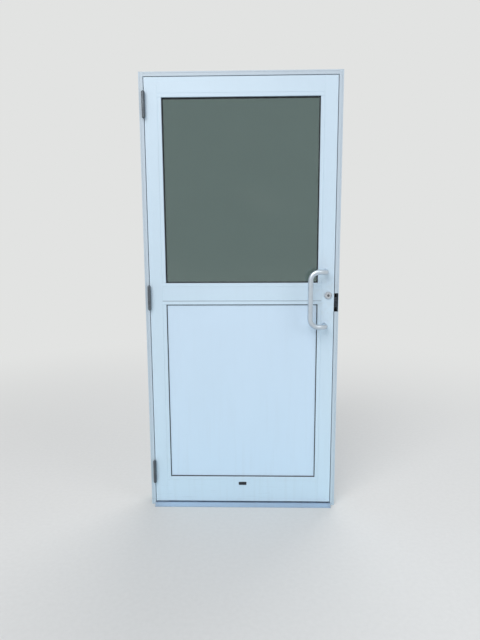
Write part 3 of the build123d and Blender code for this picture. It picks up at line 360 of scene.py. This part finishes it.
def pierced_aluminium(name):
    """The spacer between the panes, with a row of pinholes drawn as dots of painted shade."""
    bar = Finish(name)
    x, y, z = bar.axes()
    off_pitch = bar.rise(abs((x + z) % HOLE_PITCH - HOLE_PITCH / 2), 0.0003, 0.0006)
    off_row = bar.rise(abs(y - SPACER_MIDDLE), 0.0004, 0.0007)
    brushed = bar.grain(0.0008, stretch=(10, 1, 10))
    metal = bar.tint(brushed, colour(190, 193, 196), colour(168, 171, 175))
    # The pinholes are near-black dots: painted shade inside the holes.
    surface = bar.tint((1.0 - off_pitch) * (1.0 - off_row), metal, colour(18, 18, 20))
    return bar.close(Base_Color=surface, Metallic=0.85, Roughness=0.35 + brushed * 0.15)


spacer_aluminium = pierced_aluminium("spacer_aluminium")
print("spacer finish", spacer_aluminium.name, "holes every", HOLE_PITCH * 1000, "mm")

# %% [markdown]
# ## Rubber
# Black wedge gaskets hold the glass and the panel, a sweep closes the gap under the leaf, and
# grey bulb seals sit in the stops. Old rubber is never pure black: pale dust lies on it, and
# its skin has a fine tooth. A flat black would swallow the gasket's edge, so the dust matters.

# %% Rubber


def weather_rubber(name, base, dusty, amount):
    """Rubber with a fine skin and settled dust."""
    strip = Finish(name)
    settled = strip.rise(strip.grain(0.02, stretch=(2, 1, 2), detail=5.0), 0.40, 0.72)
    surface = strip.tint(settled * amount, base, dusty)
    relief = strip.bumps(strip.grain(0.0009, detail=3.0), 0.00003)
    return strip.close(Base_Color=surface, Roughness=0.52 + settled * 0.25, Normal=relief)


gasket_rubber = weather_rubber("gasket_rubber", colour(17, 20, 30), colour(78, 83, 92), 0.16)
sweep_rubber = weather_rubber("sweep_rubber", colour(30, 31, 34), colour(110, 106, 98), 0.5)
seal_rubber = weather_rubber("seal_rubber", colour(96, 99, 103), colour(140, 138, 132), 0.4)
block_rubber = weather_rubber("setting_block_rubber", colour(34, 35, 38), colour(80, 80, 80), 0.2)
print("rubbers", gasket_rubber.name, sweep_rubber.name, seal_rubber.name)

# %% [markdown]
# ## Tinted glass
# By day a glazed door looks grey green and rather dark, because the room behind it is dark.
# Clear glass in a pale studio would look white. A dark paint would have the tone, but nothing
# would show through it. Glass with a grey green tint has the tone and stays glass: light passes
# through both panes and is coloured twice. The tint is partly the glass's own green and partly
# painted shade, standing for the dark room behind. Wiping leaves faint arcs of haze, where the
# tint is a little paler, and dust gathers along the lower edge and blurs the glass there.

# %% Glass
DUSTY_BELOW = (1.17, 1.30)


def pane_glass(name):
    """Glass tinted partly by painted shade, with wiping marks and dust along the lower edge."""
    pane = Finish(name)
    height = pane.axes()[2]
    arcs = pane.grain(0.22, stretch=(2.2, 1, 1), turned=(0, 0.6, 0), detail=4.0)
    wipes = pane.rise(arcs, 0.48, 0.70)
    low = 1.0 - pane.rise(height, *DUSTY_BELOW)
    haze = wipes * 0.15 + low * 0.10
    # The tint: partly the glass's own green, partly painted shade for the dark room behind.
    tint = pane.tint(haze, colour(160, 174, 172), colour(182, 190, 187))
    roughness = 0.004 + low * 0.015
    return pane.close(Base_Color=tint, Roughness=roughness, Transmission_Weight=1.0, IOR=1.46)


glass = pane_glass("shade_dimmed_glass")
print("glass", glass.name)

# %% [markdown]
# ## Lock metals
# The cylinder and its ring are turned parts with a satin nickel plate. A lathe leaves rings
# round the axis, so the pattern needs the distance from that axis: a Mapping node moves the
# centre to the keyhole, and the length of what is left drives a sine. The lock case and
# the backing plates are zinc plated sheet, with the pale spangle of zinc. The strike's housing
# is painted near black and its keeper dark grey, as painted shade inside the strike's pocket,
# which is why that pocket reads as a dark slot in the white jamb.

# %% Turned nickel
CYLINDER_AXIS = (0.4254, 0.0, 1.1057)
RADIANS_PER_METRE = 9000.0


def turned_nickel(name, bright, dull, rough):
    """Nickel plate with the lathe's rings round the lock's axis."""
    part = Finish(name)
    centred = part.node(
        "Mapping",
        inputs={"Vector": part.place, "Location": [-c for c in CYLINDER_AXIS], "Scale": (1, 0, 1)},
    )
    radius = part.node("VectorMath", {"operation": "LENGTH"}, {0: centred}, out="Value")
    wave = part.node("Math", {"operation": "SINE"}, {0: radius * RADIANS_PER_METRE})
    rings = wave * 0.5 + 0.5
    tarnish = part.rise(part.grain(0.008, detail=4.0), 0.42, 0.66)
    surface = part.tint(rings * 0.3 + tarnish * 0.35, bright, dull)
    relief = part.bumps(rings, 0.00001)
    roughness = rough + rings * 0.06 + tarnish * 0.12
    return part.close(Base_Color=surface, Metallic=1.0, Roughness=roughness, Normal=relief)


ring_nickel = turned_nickel("ring_nickel", colour(221, 225, 230), colour(182, 189, 197), 0.24)
face_tones = colour(208, 213, 219), colour(164, 170, 178)
cylinder_nickel = turned_nickel("cylinder_nickel", *face_tones, 0.34)
plug_nickel = turned_nickel("plug_nickel", colour(146, 150, 156), colour(92, 96, 102), 0.26)
print("nickel", ring_nickel.name, cylinder_nickel.name, plug_nickel.name)

# %% Zinc, black housing and strike steel


def zinc_plate(name):
    """Zinc plated sheet with its spangle."""
    sheet = Finish(name)
    spangle = sheet.spots(1.0 / 140.0, out="Color")
    shade = sheet.node("SeparateColor", inputs={0: spangle})
    surface = sheet.tint(shade, colour(150, 153, 158), colour(178, 181, 185))
    return sheet.close(Base_Color=surface, Metallic=0.9, Roughness=0.38 + shade * 0.15)


def pocket_shade_housing(name):
    """Steel painted near black as the shade inside the strike's pocket, rubbed grey in places."""
    box = Finish(name)
    rubbed = box.rise(box.grain(0.006, detail=5.0), 0.60, 0.72)
    # The near black is painted shade inside the strike's pocket. The grey rubs are wear.
    surface = box.tint(rubbed * 0.35, colour(9, 11, 14), colour(60, 62, 66))
    relief = box.bumps(box.grain(0.001, detail=2.0), 0.00003)
    return box.close(Base_Color=surface, Roughness=0.42 - rubbed * 0.1, Normal=relief)


def keeper_shade_and_rub(name):
    """Steel painted dark as the shade inside the strike's pocket, which the latch has rubbed
    bright.
    """
    gate = Finish(name)
    rub = gate.rise(gate.grain(0.009, stretch=(2, 1, 1), detail=3.0), 0.35, 0.70)
    # The dark tone is painted shade inside the strike's pocket. The rubbed patches are wear.
    surface = gate.tint(rub, colour(54, 60, 68), colour(98, 104, 112))
    return gate.close(Base_Color=surface, Metallic=0.9, Roughness=0.42 - rub * 0.14)


zinc = zinc_plate("zinc_plate")
housing_pocket_shade = pocket_shade_housing("pocket_shade_housing")
keeper_steel = keeper_shade_and_rub("keeper_steel")
print("lock metals", zinc.name, housing_pocket_shade.name, keeper_steel.name)

# %% [markdown]
# ## Board core and blank plate
# The core of the lower panel is a pale foamed board, seen only where the panel is cut. The small
# black plate on the bottom rail is bare: a satin moulding with light scratches.

# %% Board and plate


def foamed_board(name):
    """Pale foam with fine cells."""
    board = Finish(name)
    cells = board.spots(0.0025)
    surface = board.tint(cells, colour(226, 220, 198), colour(198, 190, 166))
    return board.close(Base_Color=surface, Roughness=0.85, Normal=board.bumps(cells, 0.0003))


def blank_moulding(name):
    """Satin black moulding with light scratches."""
    plate = Finish(name)
    scratches = plate.rise(plate.grain(0.0014, stretch=(18, 1, 1), turned=(0, 0.4, 0)), 0.62, 0.68)
    haze = plate.grain(0.012, detail=3.0)
    surface = plate.tint(scratches * 0.3 + haze * 0.1, colour(16, 18, 24), colour(96, 99, 106))
    return plate.close(Base_Color=surface, Roughness=0.30 + haze * 0.15 + scratches * 0.2)


core_board = foamed_board("panel_core_board")
plate_black = blank_moulding("plate_black")
print("others", core_board.name, plate_black.name)

# %% [markdown]
# ## Dressing the solids
# Each solid has one finish, so a table of finish and names is enough. The alternative, a
# material per solid, would make sixty materials that only differ in name.

# %% Finishes on the solids
HINGES = ("top", "middle", "bottom")
HINGE_PARTS = ("frame_leaf", "door_leaf", "pin")
dressed = {
    leaf_paint: [
        "hinge_stile", "lock_stile", "top_rail", "middle_rail", "bottom_rail", "rail_shear_blocks",
        "glass_beads_outer", "glass_beads_inner", "panel_beads_outer", "panel_beads_inner",
    ],
    panel_paint: ["panel_outer_skin", "panel_inner_skin"],
    frame_paint: [
        "hinge_jamb", "lock_jamb", "frame_head", "stop_hinge_side", "stop_lock_side", "stop_head",
        "corner_clips",
    ],
    handle_steel: ["pull_handle"],
    lever_steel: ["inside_lever", "lever_spindle"],
    escutcheon_steel: ["lever_escutcheon", "pull_bolts"],
    faceplate_steel: ["lock_faceplate", "latch_bolt", "strike_faceplate"],
    hinge_steel: [f"{hinge}_hinge_{part}" for hinge in HINGES for part in HINGE_PARTS],
    sill_aluminium: ["threshold"],
    spacer_aluminium: ["glass_spacer"],
    gasket_rubber: ["glass_gaskets", "panel_gaskets"],
    sweep_rubber: ["bottom_sweep"],
    seal_rubber: ["stop_seals"],
    block_rubber: ["setting_blocks"],
    glass: ["glass_outer_pane", "glass_inner_pane"],
    ring_nickel: ["cylinder_ring"],
    cylinder_nickel: ["lock_cylinder"],
    plug_nickel: ["key_plug"],
    zinc: ["lock_case", "hinge_backers_jamb", "hinge_backers_stile"],
    housing_pocket_shade: ["strike_case"],
    keeper_steel: ["strike_keeper", "strike_keeper_pin"],
    core_board: ["panel_core"],
    plate_black: ["bottom_rail_plate"],
    screw_steel: ["hinge_screws_jamb", "hinge_screws_stile", "lock_screws", "strike_screws"],
}
for finish, names in dressed.items():
    for name in names:
        nodes[name].data.materials.clear()
        nodes[name].data.materials.append(finish)
undressed = set(nodes) - {name for names in dressed.values() for name in names}
print("dressed", len(nodes) - len(undressed), "left bare", sorted(undressed))

# %% [markdown]
# ## Countersunk screws
# The CAD screws are plain cones, good for fit and weight. A real one has a cross recess.
# A Boolean cut would make it, but booleans leave ragged faces on such small parts. Instead the
# head starts as a five by five grid: its outline is pushed onto a circle, the cross of
# faces in its middle is extruded down, and its rim is extruded into the cone and the shank.

# %% One screw
HEAD_RADIUS = 0.0046
HEAD_HEIGHT = 0.0024
SHANK_RADIUS = 0.0024
SCREW_LENGTH = 0.012
ARM_LENGTH, ARM_HALF_WIDTH = 0.58 * HEAD_RADIUS, 0.13 * HEAD_RADIUS
CROSS_DEPTH = 0.0016
CROSS_TAPER = 0.62


def cross_screw():
    """A screw with its head's face at the origin and its point down."""
    bm = bmesh.new()
    bmesh.ops.create_grid(bm, x_segments=5, y_segments=5, size=HEAD_RADIUS)
    columns = sorted({round(v.co.x, 7) for v in bm.verts})
    half = (ARM_HALF_WIDTH, ARM_LENGTH, HEAD_RADIUS)
    wanted = sorted(side * reach for side in (-1, 1) for reach in half)
    shift = dict(zip(columns, wanted))
    for v in bm.verts:
        v.co.x, v.co.y = shift[round(v.co.x, 7)], shift[round(v.co.y, 7)]
    for v in bm.verts:
        if v.is_boundary:
            v.co = v.co.normalized() * HEAD_RADIUS
    cross = []
    for face in bm.faces:
        centre = face.calc_center_median()
        near, far = sorted((abs(centre.x), abs(centre.y)))
        if near < ARM_HALF_WIDTH and far < ARM_LENGTH:
            cross.append(face)
    sunk = bmesh.ops.extrude_face_region(bm, geom=cross)["geom"]
    floor_of_cross = [g for g in sunk if isinstance(g, bmesh.types.BMVert)]
    bmesh.ops.translate(bm, verts=floor_of_cross, vec=(0, 0, -CROSS_DEPTH))
    bmesh.ops.scale(bm, verts=floor_of_cross, vec=(CROSS_TAPER, CROSS_TAPER, 1))
    bmesh.ops.delete(bm, geom=cross, context="FACES")
    rim = [edge for edge in bm.edges if edge.is_boundary]
    for height, radius in ((-HEAD_HEIGHT, SHANK_RADIUS), (-SCREW_LENGTH, SHANK_RADIUS)):
        pulled = bmesh.ops.extrude_edge_only(bm, edges=rim)["geom"]
        ring = [g for g in pulled if isinstance(g, bmesh.types.BMVert)]
        rim = [g for g in pulled if isinstance(g, bmesh.types.BMEdge) and g.is_boundary]
        for v in ring:
            v.co = Vector((v.co.x, v.co.y, 0)).normalized() * radius + Vector((0, 0, height))
    bmesh.ops.edgeloop_fill(bm, edges=rim)
    bmesh.ops.recalc_face_normals(bm, faces=bm.faces)
    mesh = bpy.data.meshes.new("cross_screw")
    bm.to_mesh(mesh)
    bm.free()
    return mesh


one_screw = cross_screw()
print("one screw has", len(one_screw.polygons), "faces")

# %% [markdown]
# A piece is finished when its object lies at the origin and its place is in its mesh, so the
# screws of one group are copied into one mesh, each turned to its own side and given its own
# small twist, because no fitter leaves every slot upright.

# %% Screws in their places
TWIST_STEP = 2.4


def set_screws(name, body, places, stands_for):
    """One piece with a screw at each place. A place is a point and a turn."""
    bm = bmesh.new()
    for number, (point, turned) in enumerate(places):
        before = len(bm.verts)
        bm.from_mesh(one_screw)
        bm.verts.ensure_lookup_table()
        fresh = bm.verts[before:]
        twist = Matrix.Rotation(number * TWIST_STEP, 4, "Z")
        bmesh.ops.transform(bm, matrix=Matrix.Translation(point) @ turned @ twist, verts=fresh)
    mesh = bpy.data.meshes.new(name)
    bm.to_mesh(mesh)
    bm.free()
    mesh.materials.append(screw_steel)
    piece = bpy.data.objects.new(name, mesh)
    bpy.context.scene.collection.objects.link(piece)
    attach(piece, body)
    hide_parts(stands_for)
    print(name, len(places), "screws,", len(mesh.polygons), "faces")


TOWARDS_LOCK = Matrix.Rotation(math.radians(90), 4, "Y")
TOWARDS_HINGES = Matrix.Rotation(math.radians(-90), 4, "Y")
TOWARDS_INSIDE = Matrix.Rotation(math.radians(-90), 4, "X")
SCREW_ROWS = ((-0.38, 0.45), (-0.13, 0.8), (0.13, 0.8), (0.38, 0.45))


def wing_places(part, face_x, turned):
    """The places of the twelve screws of one kind of hinge wing, on the plane x = face_x.

    SCREW_ROWS gives them as shares: along the wing from its middle, and across it.
    """
    face_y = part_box("hinge_jamb")[0][1]
    places = []
    for hinge in HINGES:
        low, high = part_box(f"{hinge}_hinge_{part}")
        for along, across in SCREW_ROWS:
            y = face_y + across * (high[1] - face_y)
            z = (low[2] + high[2]) / 2 + along * (high[2] - low[2])
            places.append((Vector((face_x, y, z)), turned))
    return places


jamb_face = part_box("frame_head")[0][0]
stile_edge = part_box("hinge_stile")[0][0]
jamb_places = wing_places("frame_leaf", jamb_face, TOWARDS_LOCK)
stile_places = wing_places("door_leaf", stile_edge, TOWARDS_HINGES)
set_screws("frame_wing_screws", "frame", jamb_places, "hinge_screws_jamb")
set_screws("door_wing_screws", "leaf", stile_places, "hinge_screws_stile")

# %% [markdown]
# The lock's faceplate, the lever's escutcheon and the strike have two screws each. Their
# places follow from the plates: a screw sits a fixed way in from each end.

# %% Screws of lock and strike
plate_low, plate_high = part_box("lock_faceplate")
plate_y = (plate_low[1] + plate_high[1]) / 2
shield_low, shield_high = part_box("lever_escutcheon")
shield_x = (shield_low[0] + shield_high[0]) / 2
FACEPLATE_SCREW_IN = 0.00635
ESCUTCHEON_SCREW_IN = 0.0092
lock_places = [
    (Vector((plate_high[0], plate_y, z)), TOWARDS_LOCK)
    for z in (plate_low[2] + FACEPLATE_SCREW_IN, plate_high[2] - FACEPLATE_SCREW_IN)
]
lock_places += [
    (Vector((shield_x, shield_high[1], z)), TOWARDS_INSIDE)
    for z in (shield_low[2] + ESCUTCHEON_SCREW_IN, shield_high[2] - ESCUTCHEON_SCREW_IN)
]
set_screws("lock_and_lever_screws", "leaf", lock_places, "lock_screws")
strike_low, strike_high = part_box("strike_faceplate")
STRIKE_SCREW_IN = 0.00815
strike_places = [
    (Vector((strike_low[0], plate_y, z)), TOWARDS_HINGES)
    for z in (strike_low[2] + STRIKE_SCREW_IN, strike_high[2] - STRIKE_SCREW_IN)
]
set_screws("strike_cross_screws", "frame", strike_places, "strike_screws")

# %% [markdown]
# ## Floor and light
# The door stands on a plain pale floor. A backdrop would get in the way when the camera walks
# round, so the floor fades into the colour of the world with distance, and there is no
# horizon. That fade glows, but only for the camera, in mirrors and through the glass,
# so it lights nothing. Round the door the floor throws back a cool light, which turns the
# lower half of the leaf a little bluer.

# %% Floor
BACKGROUND = colour(226, 227, 226)
FLOOR_RADIUS = 60.0
COOL_UNTIL = (0.8, 3.0)
FADES_OVER = (1.0, 4.5)


def studio_floor(name):
    """A pale floor that fades into the background."""
    ground = Finish(name)
    distance = ground.node("VectorMath", {"operation": "LENGTH"}, {0: ground.place}, out="Value")
    rays = ground.node("LightPath", out="Is Camera Ray")
    seen = rays + rays.other("Is Glossy Ray") + rays.other("Is Transmission Ray")
    specks = ground.grain(0.02, detail=4.0)
    pale = ground.tint(specks, colour(222, 222, 220), colour(214, 214, 212))
    by_door = rays.other("Is Diffuse Ray") * (1.0 - ground.rise(distance, *COOL_UNTIL))
    thrown = ground.tint(by_door, pale, colour(222, 250, 255))
    matt = ground.node("BsdfDiffuse", inputs={"Color": thrown})
    glow = ground.node("Emission", inputs={"Color": BACKGROUND, "Strength": 1.0})
    fade = ground.rise(distance, *FADES_OVER) * ground.rise(seen, 0.0, 1.0)
    mixed = ground.node("MixShader", inputs={0: fade, 1: matt, 2: glow})
    ground.node("OutputMaterial", inputs={"Surface": mixed})
    return ground.material


floor_bm = bmesh.new()
bmesh.ops.create_circle(floor_bm, cap_ends=True, segments=96, radius=FLOOR_RADIUS)
floor_mesh = bpy.data.meshes.new("studio_floor")
floor_bm.to_mesh(floor_mesh)
floor_bm.free()
floor_mesh.materials.append(studio_floor("studio_floor"))
floor = bpy.data.objects.new("studio_floor", floor_mesh)
bpy.context.scene.collection.objects.link(floor)
print("floor", len(floor_mesh.polygons), "face, radius", round(floor.dimensions.x / 2), "m")

# %% World
SOFT_LIGHT = 0.55


def studio_world(name):
    """A plain background to look at, in mirrors and through glass too, and a soft light."""
    air = Finish(name, bpy.data.worlds)
    tone = colour(238, 241, 246)
    light = air.node("Background", inputs={"Color": tone, "Strength": SOFT_LIGHT})
    plain = air.node("Background", inputs={"Color": BACKGROUND, "Strength": 1.0})
    rays = air.node("LightPath", out="Is Camera Ray")
    seen = rays + rays.other("Is Glossy Ray") + rays.other("Is Transmission Ray")
    shown = air.node("MixShader", inputs={0: seen, 1: light, 2: plain})
    air.node("OutputWorld", inputs={"Surface": shown})
    return air.material


bpy.context.scene.world = studio_world("studio_world")
print("world", len(bpy.context.scene.world.node_tree.nodes), "nodes")

# %% [markdown]
# Three square lamps light the door: a large one in front and above, a weak one on the lock's
# side, and one behind. The camera doesn't see them, nor does a ray through the glass. Mirrors
# see the two high ones, and that makes metal look like metal: the round bar of the pull handle
# shows a bright line where it mirrors a lamp, and stays darker beside it. The panes stand too
# low to mirror them at eye level. They would mirror the low one at the side as a hard square,
# so it is kept out of mirrors.

# %% Lamps
AIM = Vector((0, 0, 1.2))
WHITE_LIGHT = colour(252, 252, 252)
COOL_LIGHT = colour(240, 246, 255)


def soft_lamp(name, place, size, watts, aim=AIM, tone=WHITE_LIGHT, in_mirrors=True):
    """A square lamp at a place that points at aim."""
    lamp = bpy.data.lights.new(name, "AREA")
    lamp.size = size
    lamp.energy = watts
    lamp.color = tone[:3]
    holder = bpy.data.objects.new(name, lamp)
    towards = (aim - Vector(place)).to_track_quat("-Z", "Y")
    holder.matrix_world = Matrix.Translation(place) @ towards.to_matrix().to_4x4()
    bpy.context.scene.collection.objects.link(holder)
    holder.visible_camera = False
    holder.visible_transmission = False
    holder.visible_glossy = in_mirrors


soft_lamp("front_lamp", (-1.8, -4.6, 5.2), size=4.2, watts=222.0)
soft_lamp(
    "lock_side_lamp",
    (3.8, -3.0, 2.2),
    size=2.4,
    watts=45.0,
    aim=Vector((0, 0, 1.0)),
    tone=COOL_LIGHT,
    in_mirrors=False,
)
soft_lamp("back_lamp", (1.4, 4.6, 5.4), size=4.8, watts=185.0)
print("lamps", len(bpy.data.lights))
